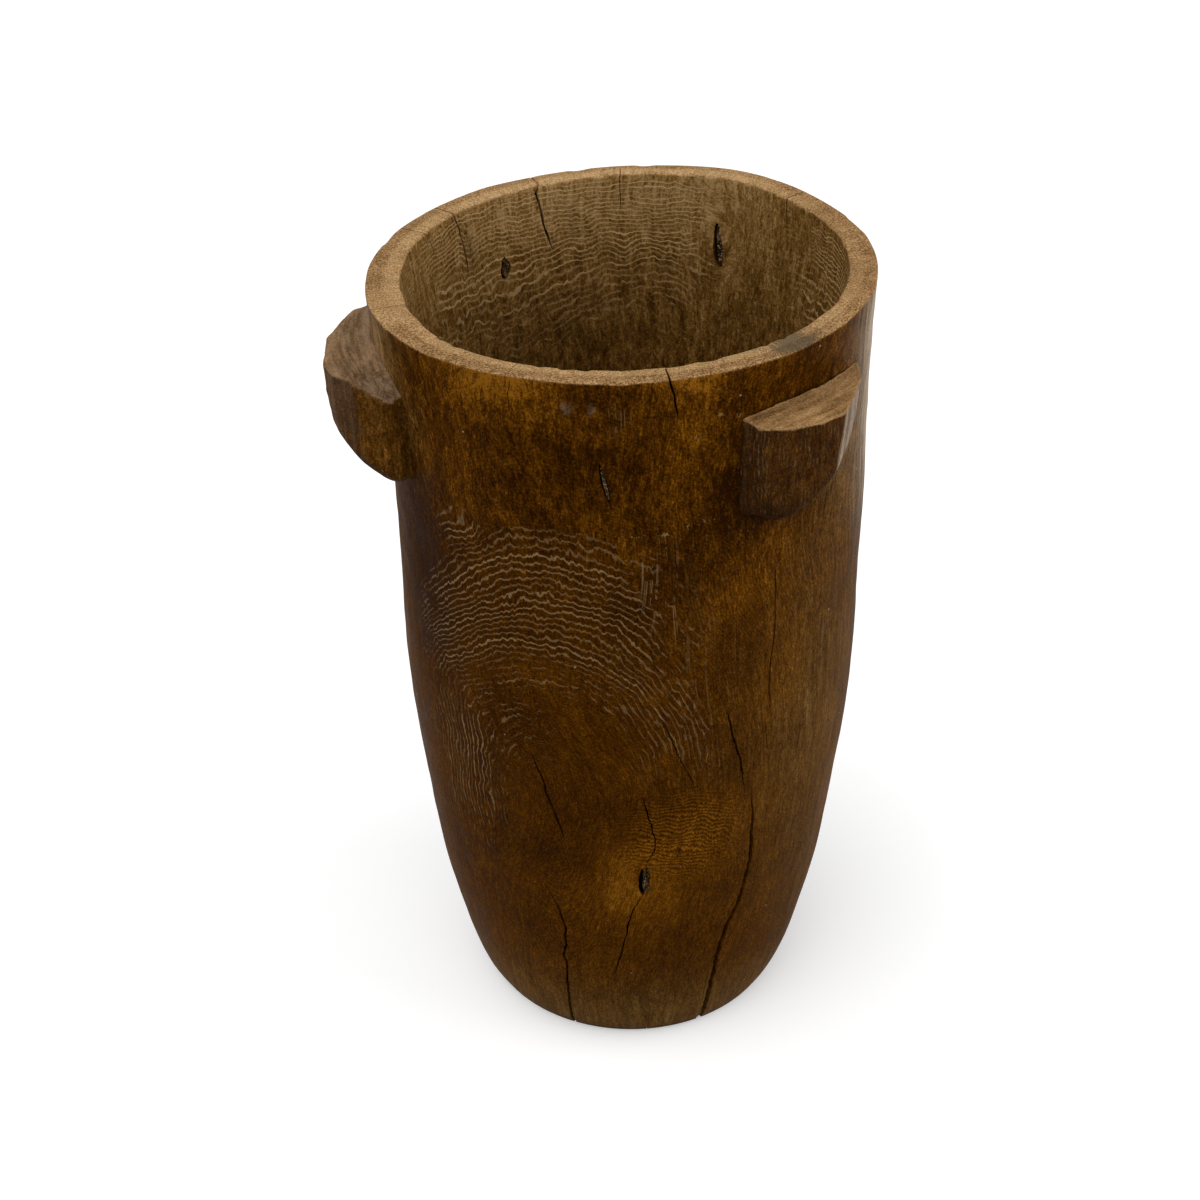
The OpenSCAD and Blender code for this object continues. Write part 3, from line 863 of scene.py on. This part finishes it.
def lug_fields(obj, node):
    """What the wood's shader needs on a lug: pale on top and on worn edges, with painted shade below and
    painted light and sheen on its ends.
    """
    lug = LUGS[node]
    points = vertex_points(obj.data)
    normals = vertex_normals(obj.data)
    angle, r, z = around(points)
    up = smooth(0.35, 0.8, normals[:, 2])
    under = smooth(-0.2, -0.6, normals[:, 2])
    worn = smooth(0.16, 0.50, edge_wear(obj.data, points, normals)) * smooth(16, 4, LUG_TOP_Z - z)
    sway = 1.6 * ring_noise(FIGURE_SWAY, angle * 2.0, z) + 0.5 * ring_noise(FIGURE_ZIGZAG, z, angle + 180.0)
    side = (1 - up) * (1 - under)
    facing = np.degrees(np.arctan2(normals[:, 0], -normals[:, 1]))
    # Painted sheen on the right lug's back end, where light glances off it
    sheen_back_end = smooth(54, 74, facing) * side * (node == "right_lug")
    # Painted light: the left lug's front end is made paler, as if lit from the right
    lit_front_end = smooth(-30, -5, facing) * side * (node == "left_lug")
    bevel = up * smooth(0.97, 0.90, normals[:, 2]) * (node == "left_lug")
    # Painted shade on the right lug where it meets the wall, at its left end and below
    shaded_junction = np.maximum(smooth(31, 26, angle), smooth(368, 358, z)) * (node == "right_lug")
    clouds = 0.3 * ring_noise(PATINA_CLOUDS, angle * 3, z)
    lengthwise = np.stack([r, z, np.radians(angle) * r], -1)
    return {
        "grain": np.where(up[:, None] > 0.5, lengthwise, points) * MM,
        "figure": (np.radians(angle) * r + sway) / LUG_SPACING,
        "figure_amount": lug.lines * side,
        # Painted shade underneath and at the right lug's junction, painted light on the left lug's front end
        "patina_light_and_shade": -0.3 - 0.5 * under + clouds + 0.5 * lit_front_end - 0.5 * shaded_junction,
        "bare": np.clip(lug.bare * up * (1 - 0.5 * bevel) + lug.worn * worn, 0.0, 1.0),
        # Painted light on the left lug's front end
        "dry_and_lit": np.maximum(0.03 + 0.29 * up, 0.28 * lit_front_end),
        "lively": np.full(len(points), 0.12),
        "fleck": np.full(len(points), 0.9),
        "lift": 0.12 * worn,
        "scuff": 0.40 * up + 0.25 * worn,
        "fine": np.full(len(points), 0.12),
        # Painted sheen, mostly on top, and on the right lug's back end
        "haze": np.maximum(lug.haze * (0.4 + 0.6 * up) * (1 - lit_front_end), 0.58 * sheen_back_end),
        # Painted shade where the lug meets the wall, lighter at the left lug's front end
        "painted_shade": smooth(1.6, -0.5, r - carved_outer_r(angle, z)) * (0.7 - 0.5 * lit_front_end) * (1 - up),
    }


def knot_fields(obj):
    """What the knots' shader needs."""
    points = vertex_points(obj.data)
    angle, _, z = around(points)
    return {"grain": grain_points(angle, z, np.zeros(len(points)))}


def write_fields(obj, fields):
    """Stores fields as vertex attributes."""
    for name, values in fields.items():
        kind = "FLOAT_VECTOR" if values.ndim == 2 else "FLOAT"
        attribute = obj.data.attributes.new(name, kind, "POINT")
        key = "vector" if values.ndim == 2 else "value"
        attribute.data.foreach_set(key, np.ascontiguousarray(values, np.float32).ravel())


def shade(obj, sharp_angle):
    """Smooth shading with sharp edges above an angle."""
    obj.data.polygons.foreach_set("use_smooth", np.ones(len(obj.data.polygons), bool))
    obj.data.set_sharp_from_angle(angle=math.radians(sharp_angle))


# Materials

class Graph:
    """Short ways to add shader nodes to a material or the world."""

    def __init__(self, owner):
        owner.use_nodes = True
        self.owner = owner
        self.nodes = owner.node_tree.nodes
        self.links = owner.node_tree.links
        self.nodes.clear()

    def add(self, kind, inputs=None, **settings):
        """A new node with its settings, and its inputs linked to sockets or set to plain values."""
        node = self.nodes.new("ShaderNode" + kind)
        for key, value in settings.items():
            setattr(node, key, value)
        for key, value in (inputs or {}).items():
            if isinstance(value, bpy.types.NodeSocket):
                self.links.new(value, node.inputs[key])
            else:
                node.inputs[key].default_value = value
        return node

    def attribute(self, name, output="Fac"):
        return self.add("Attribute", attribute_name=name).outputs[output]

    def math(self, operation, a, b=0.0, clamp=False):
        return self.add("Math", {0: a, 1: b}, operation=operation, use_clamp=clamp).outputs[0]

    def plus(self, a, b):
        return self.math("ADD", a, b)

    def minus(self, a, b):
        return self.math("SUBTRACT", a, b)

    def times(self, a, b, clamp=False):
        return self.math("MULTIPLY", a, b, clamp)

    def wave(self, phase):
        """A sine wave with one crest for each whole number of the phase."""
        return self.math("SINE", self.times(phase, 2.0 * math.pi))

    def noise(self, vector, scale, detail=2.0, roughness=0.5, along=1.0, distortion=0.0):
        """Noise from 0 to 1, drawn out along the fibres where along is below 1."""
        mapping = self.add("Mapping", {"Vector": vector, "Scale": (1.0, 1.0, along)})
        look = {"Scale": scale, "Detail": detail, "Roughness": roughness, "Distortion": distortion}
        return self.add("TexNoise", {"Vector": mapping.outputs[0], **look}).outputs["Fac"]

    def span(self, value, low, high, out_low=0.0, out_high=1.0):
        """Smooth step from out_low to out_high."""
        ends = {"From Min": low, "From Max": high, "To Min": out_low, "To Max": out_high}
        node = self.add("MapRange", {"Value": value, **ends}, interpolation_type="SMOOTHSTEP")
        return node.outputs["Result"]

    def blend(self, start, *parts):
        """A start value plus noises, each centred on zero and weighted."""
        total = start
        for noise, weight in parts:
            total = self.plus(total, self.times(self.minus(noise, 0.5), weight))
        return total

    def ramp(self, value, *stops):
        """Colours along a value, as pairs of place and colour."""
        node = self.add("ValToRGB", {"Fac": value})
        points = node.color_ramp.elements
        while len(points) < len(stops):
            points.new(0.5)
        for point, (where, colour) in zip(points, stops):
            point.position = where
            point.color = colour
        return node.outputs["Color"]

    def mix(self, share, a, b):
        return self.add("Mix", {"Factor": share, "A": a, "B": b}, data_type="RGBA").outputs["Result"]

    def seen_white(self, lighting, white):
        """One shader for the rays that light the object, and a white one for those that are seen."""
        path = self.add("LightPath").outputs
        seen = self.math("MAXIMUM", path["Is Camera Ray"], path["Is Glossy Ray"])
        seen = self.math("MAXIMUM", seen, path["Is Transmission Ray"])
        return self.add("MixShader", {0: seen, 1: lighting.outputs[0], 2: white.outputs[0]})

    def surface(self, colour, roughness, specular, relief, strength, depth):
        """Ends a material with one bumped shader; the bump's depth is in millimetres."""
        bump = self.add("Bump", {"Strength": strength, "Distance": depth * MM, "Height": relief})
        look = {"Base Color": colour, "Roughness": roughness, "Specular IOR Level": specular}
        return self.finish(self.add("BsdfPrincipled", {"Normal": bump.outputs[0], **look}))

    def finish(self, shader, output="OutputMaterial"):
        self.add(output, {"Surface": shader.outputs[0]})
        return self.owner


def rgb(red, green, blue):
    return (red, green, blue, 1.0)


WAX_DARK = rgb(0.022, 0.0060, 0.0002)
WAX_BROWN = rgb(0.065, 0.0202, 0.0005)
WAX_AMBER = rgb(0.140, 0.0475, 0.0018)
WAX_ORANGE = rgb(0.325, 0.1240, 0.0090)
DRY_DARK = rgb(0.060, 0.0265, 0.0046)
DRY_BROWN = rgb(0.168, 0.0810, 0.0165)
DRY_TAN = rgb(0.288, 0.1560, 0.0440)
DRY_PALE = rgb(0.460, 0.2900, 0.1220)
BARE_DARK = rgb(0.110, 0.0550, 0.0180)
BARE_BROWN = rgb(0.330, 0.1830, 0.0750)
BARE_PALE = rgb(0.560, 0.3600, 0.1750)
LINE = rgb(0.330, 0.2150, 0.1000)
DRY_LINE = rgb(0.580, 0.3800, 0.1750)
CRUMB = rgb(0.340, 0.2200, 0.0850)
# Colours of the grey stain and of the painted sheen
SHEEN_AND_STAIN_DARK = rgb(0.310, 0.2400, 0.1700)
SHEEN_AND_STAIN_PALE = rgb(0.620, 0.4850, 0.3500)
STAIN = rgb(0.055, 0.0450, 0.0310)
# Colour of the painted shade in cracks and joints
PAINTED_SHADE_COLOUR = rgb(0.008, 0.005, 0.0025)
SPECK = rgb(0.62, 0.50, 0.34)
KNOT_DARK = rgb(0.028, 0.014, 0.005)
KNOT_BROWN = rgb(0.20, 0.11, 0.045)
KNOT_PALE = rgb(0.42, 0.30, 0.17)
WHITE = rgb(1.0, 1.0, 1.0)
# Middle tones on the colour ramps
WAX_TONE = 0.42
DRY_TONE = 0.43
BARE_TONE = 0.385
WOOD_SPECULAR = 0.006
KNOT_SPECULAR = 0.02


Noises = namedtuple("Noises", "place grain mottle strokes flecks fibres grit streaks fine_grit")


def wood_noises(g):
    """The noises that the wood's colours and relief share."""
    place = g.add("TexCoord").outputs["Object"]
    grain = g.attribute("grain", "Vector")
    return Noises(
        place=place,
        grain=grain,
        mottle=g.noise(place, 65.0, 5.0, 0.62),
        strokes=g.span(g.noise(grain, 130.0, 3.0, 0.58, 0.55, 0.8), 0.30, 0.70),
        flecks=g.noise(grain, 620.0, 2.0, 0.65, 0.35, 1.2),
        fibres=g.noise(grain, 900.0, 2.0, 0.6, 0.2),
        grit=g.noise(place, 900.0, 3.0, 0.8),
        streaks=g.noise(grain, 330.0, 3.0, 0.6, 0.10),
        fine_grit=g.noise(place, 1150.0, 2.0, 0.7),
    )


def wood_colour(g, n):
    """Waxed wood and dry wood, mixed by a field of dry wood and painted light."""
    # Patina, with painted light and shade on some parts
    patina_light_and_shade = g.times(g.attribute("patina_light_and_shade"), 0.30)
    stroke = g.times(g.minus(n.strokes, 0.5), g.attribute("lively"))
    stroke = g.plus(stroke, g.times(g.minus(n.flecks, 0.5), g.attribute("fleck")))
    wax_start = g.plus(g.plus(patina_light_and_shade, stroke), g.plus(fine_rings(g, n.fibres), WAX_TONE))
    wax_tone = g.blend(wax_start, (n.mottle, 0.3), (n.streaks, 0.25), (n.fibres, 0.6), (n.grit, 1.2))
    waxed = g.ramp(wax_tone, (0.10, WAX_DARK), (0.42, WAX_BROWN), (0.68, WAX_AMBER), (1.0, WAX_ORANGE))
    dry_start = g.plus(g.plus(g.attribute("lift"), stroke), DRY_TONE)
    dry_tone = g.blend(dry_start, (n.mottle, 0.3), (n.streaks, 0.9), (n.fibres, 0.6), (n.grit, 1.4))
    dry_and_lit = g.ramp(dry_tone, (0.10, DRY_DARK), (0.45, DRY_BROWN), (0.72, DRY_TAN), (1.0, DRY_PALE))
    dry_and_lit = g.mix(g.span(patina_light_and_shade, 0.08, 0.30, 0.0, 0.6), dry_and_lit, waxed)
    return g.mix(g.attribute("dry_and_lit"), waxed, dry_and_lit)


def fine_rings(g, fibres):
    """Close growth rings between the figure's lines, as a small change of tone."""
    phase = g.blend(g.times(g.attribute("figure"), RINGS_PER_LINE), (fibres, 1.6))
    return g.times(g.wave(phase), g.attribute("fine"))


def figure_wave(g, n):
    """A wave along the figure's phase, jagged from fibre to fibre, and each line's own strength."""
    steps = g.noise(n.grain, 430.0, 1.0, 0.5, 0.10)
    jag = g.minus(1.05, g.times(g.attribute("dry_and_lit"), 0.3))
    jag = g.times(g.minus(steps, 0.5), jag)
    phase = g.blend(g.plus(g.attribute("figure"), jag), (g.noise(n.place, 140.0), 1.0))
    line = g.math("FLOOR", g.plus(phase, 0.25))
    own = g.add("TexWhiteNoise", {"W": line}, noise_dimensions="1D").outputs["Value"]
    return g.wave(phase), g.span(own, 0.0, 1.0, 0.40, 1.0)


def figure_line(g, n):
    """The pale crests of the figure, and painted shade in the hollows between them."""
    wave, strength = figure_wave(g, n)
    amount = g.attribute("figure_amount")
    dry_and_lit = g.attribute("dry_and_lit")
    present = g.span(g.blend(amount, (g.noise(n.place, 190.0), 1.3)), 0.20, 0.55)
    present = g.times(present, g.span(amount, 0.0, 0.9, 0.35, 1.0))
    thick = g.blend(g.plus(wave, g.times(dry_and_lit, 0.15)), (g.noise(n.place, 330.0, 1.0), 0.9))
    line = g.times(g.span(thick, 0.56, 1.02), strength)
    line = g.times(line, g.span(n.grit, 0.25, 0.55, 0.6, 1.0))
    damp = g.minus(1.0, g.times(dry_and_lit, 0.75))
    # Painted shade below the raised pale lines
    hollow = g.times(g.times(g.span(wave, 0.2, -0.8), amount), damp)
    return g.times(line, present), hollow


def scratches(g, n):
    """Dashed upright scratches."""
    dashes = g.span(g.noise(n.grain, 980.0, 1.0, 0.5, 0.02), 0.57, 0.65)
    dashes = g.times(dashes, g.span(g.noise(n.place, 260.0, 1.0), 0.42, 0.52))
    return g.times(dashes, g.attribute("scratch"))


def scuff_crumbs(g, n):
    """Pale crumbs of broken fibre on the scuffs."""
    scuff = g.attribute("scuff")
    crumbs = g.blend(scuff, (g.noise(n.grain, 560.0, 3.0, 0.6, 0.6), 3.0), (n.grit, 1.2))
    return g.times(g.span(crumbs, 0.75, 1.25), g.span(scuff, 0.05, 0.5))


def pale_specks(g, place):
    """A few small pale specks, anywhere."""
    cells = g.add("TexVoronoi", {"Vector": place, "Scale": 80.0}, feature="F1").outputs
    chosen = g.add("SeparateColor", {0: cells["Color"]}).outputs[0]
    return g.times(g.span(cells["Distance"], 0.055, 0.030), g.math("GREATER_THAN", chosen, 0.86))


def sheened_and_stained(g, n, colour):
    """A colour under painted sheen and grey stain, streaked along the fibres."""
    broken = g.span(g.blend(0.5, (n.streaks, 1.8), (n.mottle, 0.7)), 0.2, 0.8, 0.5, 1.5)
    haze = g.times(g.attribute("haze"), broken, True)
    return g.mix(haze, colour, g.ramp(g.blend(0.5, (n.grit, 1.4)), (0.2, SHEEN_AND_STAIN_DARK), (0.8, SHEEN_AND_STAIN_PALE)))


def bared(g, n, colour, grit, streaks):
    """A colour with bare wood on the rim and the lugs' tops: a ragged border and a dark stain."""
    bare = g.span(g.blend(g.attribute("bare"), (n.grit, 0.6), (n.mottle, 0.5)), 0.10, 0.85)
    start = g.plus(g.attribute("lift"), BARE_TONE)
    tone = g.blend(start, (n.mottle, 0.7), (n.grit, 0.4 * grit), (n.fine_grit, grit), (n.streaks, streaks))
    worn = g.ramp(tone, (0.12, BARE_DARK), (0.50, BARE_BROWN), (0.90, BARE_PALE))
    stain = g.span(g.blend(g.attribute("stain"), (n.mottle, 2.4), (n.grit, 2.4)), 0.40, 0.75, 0.0, 0.75)
    return g.mix(bare, colour, g.mix(stain, worn, STAIN))


def wood_material(name, bare_grit, bare_streaks):
    """Old waxed wood: fibres, pale figure, patina patches with painted light and shade, bare worn edges, and
    painted shade in cracks and joints.
    """
    g = Graph(bpy.data.materials.new(name))
    n = wood_noises(g)
    line, hollow = figure_line(g, n)
    crumbs = scuff_crumbs(g, n)
    # Painted shade in the figure's hollows
    colour = g.mix(g.times(hollow, 0.35), wood_colour(g, n), WAX_DARK)
    colour = g.mix(g.times(line, 0.9), colour, g.mix(g.attribute("dry_and_lit"), LINE, DRY_LINE))
    colour = g.mix(g.times(scratches(g, n), 0.7), colour, LINE)
    colour = sheened_and_stained(g, n, colour)
    colour = bared(g, n, colour, bare_grit, bare_streaks)
    colour = g.mix(g.times(crumbs, 0.7), colour, CRUMB)
    colour = g.mix(g.times(pale_specks(g, n.place), 0.5), colour, SPECK)
    # Painted shade in the cracks, the seats and the lugs' joints
    colour = g.mix(g.attribute("painted_shade"), colour, PAINTED_SHADE_COLOUR)
    roughness = g.blend(0.50, (n.fibres, 0.5), (n.mottle, 0.3))
    relief = g.plus(g.times(n.fibres, 0.5), n.grit)
    relief = g.plus(relief, g.times(line, 0.9))
    relief = g.plus(relief, g.times(crumbs, 1.5))
    return g.surface(colour, roughness, WOOD_SPECULAR, relief, 0.5, 0.5)


def knot_material(name):
    """Dead knots: dark, dried-out wood with pale splinters."""
    g = Graph(bpy.data.materials.new(name))
    splinters = g.noise(g.attribute("grain", "Vector"), 700.0, 3.0, 0.6, 0.2)
    grit = g.noise(g.add("TexCoord").outputs["Object"], 900.0)
    colour = g.mix(g.span(splinters, 0.4, 0.7), KNOT_DARK, KNOT_BROWN)
    colour = g.mix(g.span(grit, 0.56, 0.68), colour, KNOT_PALE)
    return g.surface(colour, g.span(grit, 0.2, 0.8, 0.6, 0.9), KNOT_SPECULAR, splinters, 0.8, 0.6)


# Camera, light and floor

CAMERA_PITCH = 34.35
CAMERA_DISTANCE = 1188.8
AIM_Z = 215.0
CAMERA_ROLL = -0.245
FOCAL_PIXELS = 2200.0
PHOTO_PIXELS = 1200.0
AXIS_PIXEL = (630.04, 631.69)
SENSOR = 36.0
FLOOR_SIZE = 9000.0
FLOOR_DROP = 0.1
FLOOR_GREY = rgb(0.42, 0.42, 0.42)
FLOOR_WHITE = rgb(0.8, 0.8, 0.8)
FLOOR_GLOW = 0.32
AMBIENT = 0.28
SUN_POWER = 2.25
SUN_SPREAD = 70.0
SUN_AIM = (0.28, 0.24, -0.93)
# The side panel's size and place are in metres
SIDE_POWER = 9.0
SIDE_SIZE = 1.2
SIDE_PLACE = (1.3, -0.2, 0.95)
SIDE_AIM = (-1.3, 0.2, -0.6)


def add_camera():
    """The photograph's camera."""
    data = bpy.data.cameras.new("camera")
    data.sensor_width = SENSOR
    data.lens = FOCAL_PIXELS * SENSOR / PHOTO_PIXELS
    data.shift_x = (PHOTO_PIXELS / 2 - AXIS_PIXEL[0]) / PHOTO_PIXELS
    data.shift_y = (AXIS_PIXEL[1] - PHOTO_PIXELS / 2) / PHOTO_PIXELS
    camera = add_object("camera", data)
    pitch = math.radians(CAMERA_PITCH)
    away = CAMERA_DISTANCE * MM
    place = Vector((0.0, -away * math.cos(pitch), AIM_Z * MM + away * math.sin(pitch)))
    turn = Matrix.Rotation(math.pi / 2 - pitch, 4, "X") @ Matrix.Rotation(math.radians(CAMERA_ROLL), 4, "Z")
    camera.matrix_world = Matrix.Translation(place) @ turn
    bpy.context.scene.camera = camera


def add_floor():
    """A pale floor that keeps the shadow."""
    half = FLOOR_SIZE / 2
    square = [(x, y, -FLOOR_DROP) for x, y in ((-half, -half), (half, -half), (half, half), (-half, half))]
    floor = make_object("studio_floor", square, [(0, 1, 2, 3)])
    g = Graph(bpy.data.materials.new("floor_paper"))
    grey = g.add("BsdfDiffuse", {"Color": FLOOR_GREY})
    white = g.add("BsdfDiffuse", {"Color": FLOOR_WHITE})
    glow = g.add("Emission", {"Strength": FLOOR_GLOW})
    seen = g.add("AddShader", {0: white.outputs[0], 1: glow.outputs[0]})
    floor.data.materials.append(g.finish(g.seen_white(grey, seen)))


def add_lamp(name, kind, power, aim, location=(0.0, 0.0, 0.0)):
    """A lamp that shines along a direction."""
    data = bpy.data.lights.new(name, kind)
    data.energy = power
    lamp = add_object(name, data)
    lamp.location = location
    lamp.rotation_euler = Vector(aim).to_track_quat("-Z", "Y").to_euler()
    return data


def add_light():
    """Soft light from above, a panel at the right, and a dim surround that looks white."""
    sun = add_lamp("overhead", "SUN", SUN_POWER, SUN_AIM)
    sun.angle = math.radians(SUN_SPREAD)
    panel = add_lamp("side", "AREA", SIDE_POWER, SIDE_AIM, SIDE_PLACE)
    panel.size = SIDE_SIZE
    world = bpy.data.worlds.new("studio")
    bpy.context.scene.world = world
    g = Graph(world)
    ambient = g.add("Background", {"Color": WHITE, "Strength": AMBIENT})
    white = g.add("Background", {"Color": WHITE, "Strength": 1.0})
    g.finish(g.seen_white(ambient, white), "OutputWorld")
    bpy.context.scene.view_settings.view_transform = "Standard"


def dress(obj, node, material, sharp_angle=SHARP_ANGLE):
    """Finishes a piece: its material, its shading, and the solid that it stands for."""
    obj.data.materials.clear()
    obj.data.materials.append(material)
    shade(obj, sharp_angle)
    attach(obj, "root")
    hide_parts(node)


def build():
    """Stages the scene and dresses every solid."""
    add_camera()
    add_floor()
    add_light()
    body_wood = wood_material("body_wood", 2.1, 0.2)
    lug_wood = wood_material("lug_wood", 1.0, 0.9)
    knot_wood = knot_material("knot_wood")
    wall = wall_mesh()
    base = base_mesh()
    for piece in (wall, base):
        outward(piece)
    cut_cracks_and_seats(wall, base)
    for piece, node in ((wall, "pail_wall"), (base, "pail_base")):
        write_fields(piece, wall_fields(piece))
        dress(piece, node, body_wood)
    for node in LUGS:
        lug = lug_mesh(node)
        write_fields(lug, lug_fields(lug, node))
        dress(lug, node, lug_wood, LUG_SHARP_ANGLE)
    for node in KNOTS:
        plug = knot_plug(node)
        write_fields(plug, knot_fields(plug))
        dress(plug, node, knot_wood)


build()
